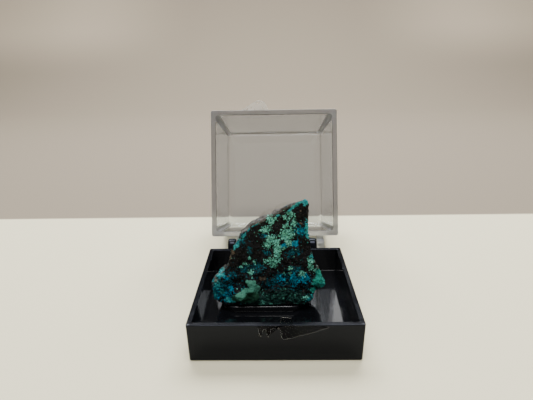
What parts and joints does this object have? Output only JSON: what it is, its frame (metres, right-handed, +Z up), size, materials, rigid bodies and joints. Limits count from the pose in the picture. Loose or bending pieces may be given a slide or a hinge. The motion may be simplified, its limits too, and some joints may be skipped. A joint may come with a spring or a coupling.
{
  "type": "chrysocolla specimen in a hinged display box",
  "caption": "Broken wedge of dark rock with a blue-green chrysocolla crust, standing on a putty pad in a small hinged box with a black tray and a clear lid.",
  "frame": {"origin": "middle of the tray's flat underside", "axes": "+Z up; the stone's crusted face and the box's opening side look along -Y; the hinge runs along X on the +Y side"},
  "size_m": [0.032, 0.0726, 0.042],
  "materials": {
    "chrysocolla_crust": "rough dark rock with patches of mint, turquoise and teal crust",
    "black_putty": "smooth and slightly shiny",
    "black_styrene": "glossy, with fine scratches",
    "clear_styrene": "clear and glossy",
    "clear_tape": "thin clear film with torn edges"
  },
  "bodies": {
    "base": {"tray": "black_styrene", "putty_pad": "black_putty", "chrysocolla": "chrysocolla_crust", "front_tape": "clear_tape"},
    "lid": {"lid": "clear_styrene", "lid_tape": "clear_tape"}
  },
  "joints": [
    {"name": "lid_hinge", "type": "hinge", "parent": "base", "child": "lid", "pos_m": [0, 0.0184, 0.0072], "axis": [1, 0, 0], "range_deg": [0, 109]}
  ]
}
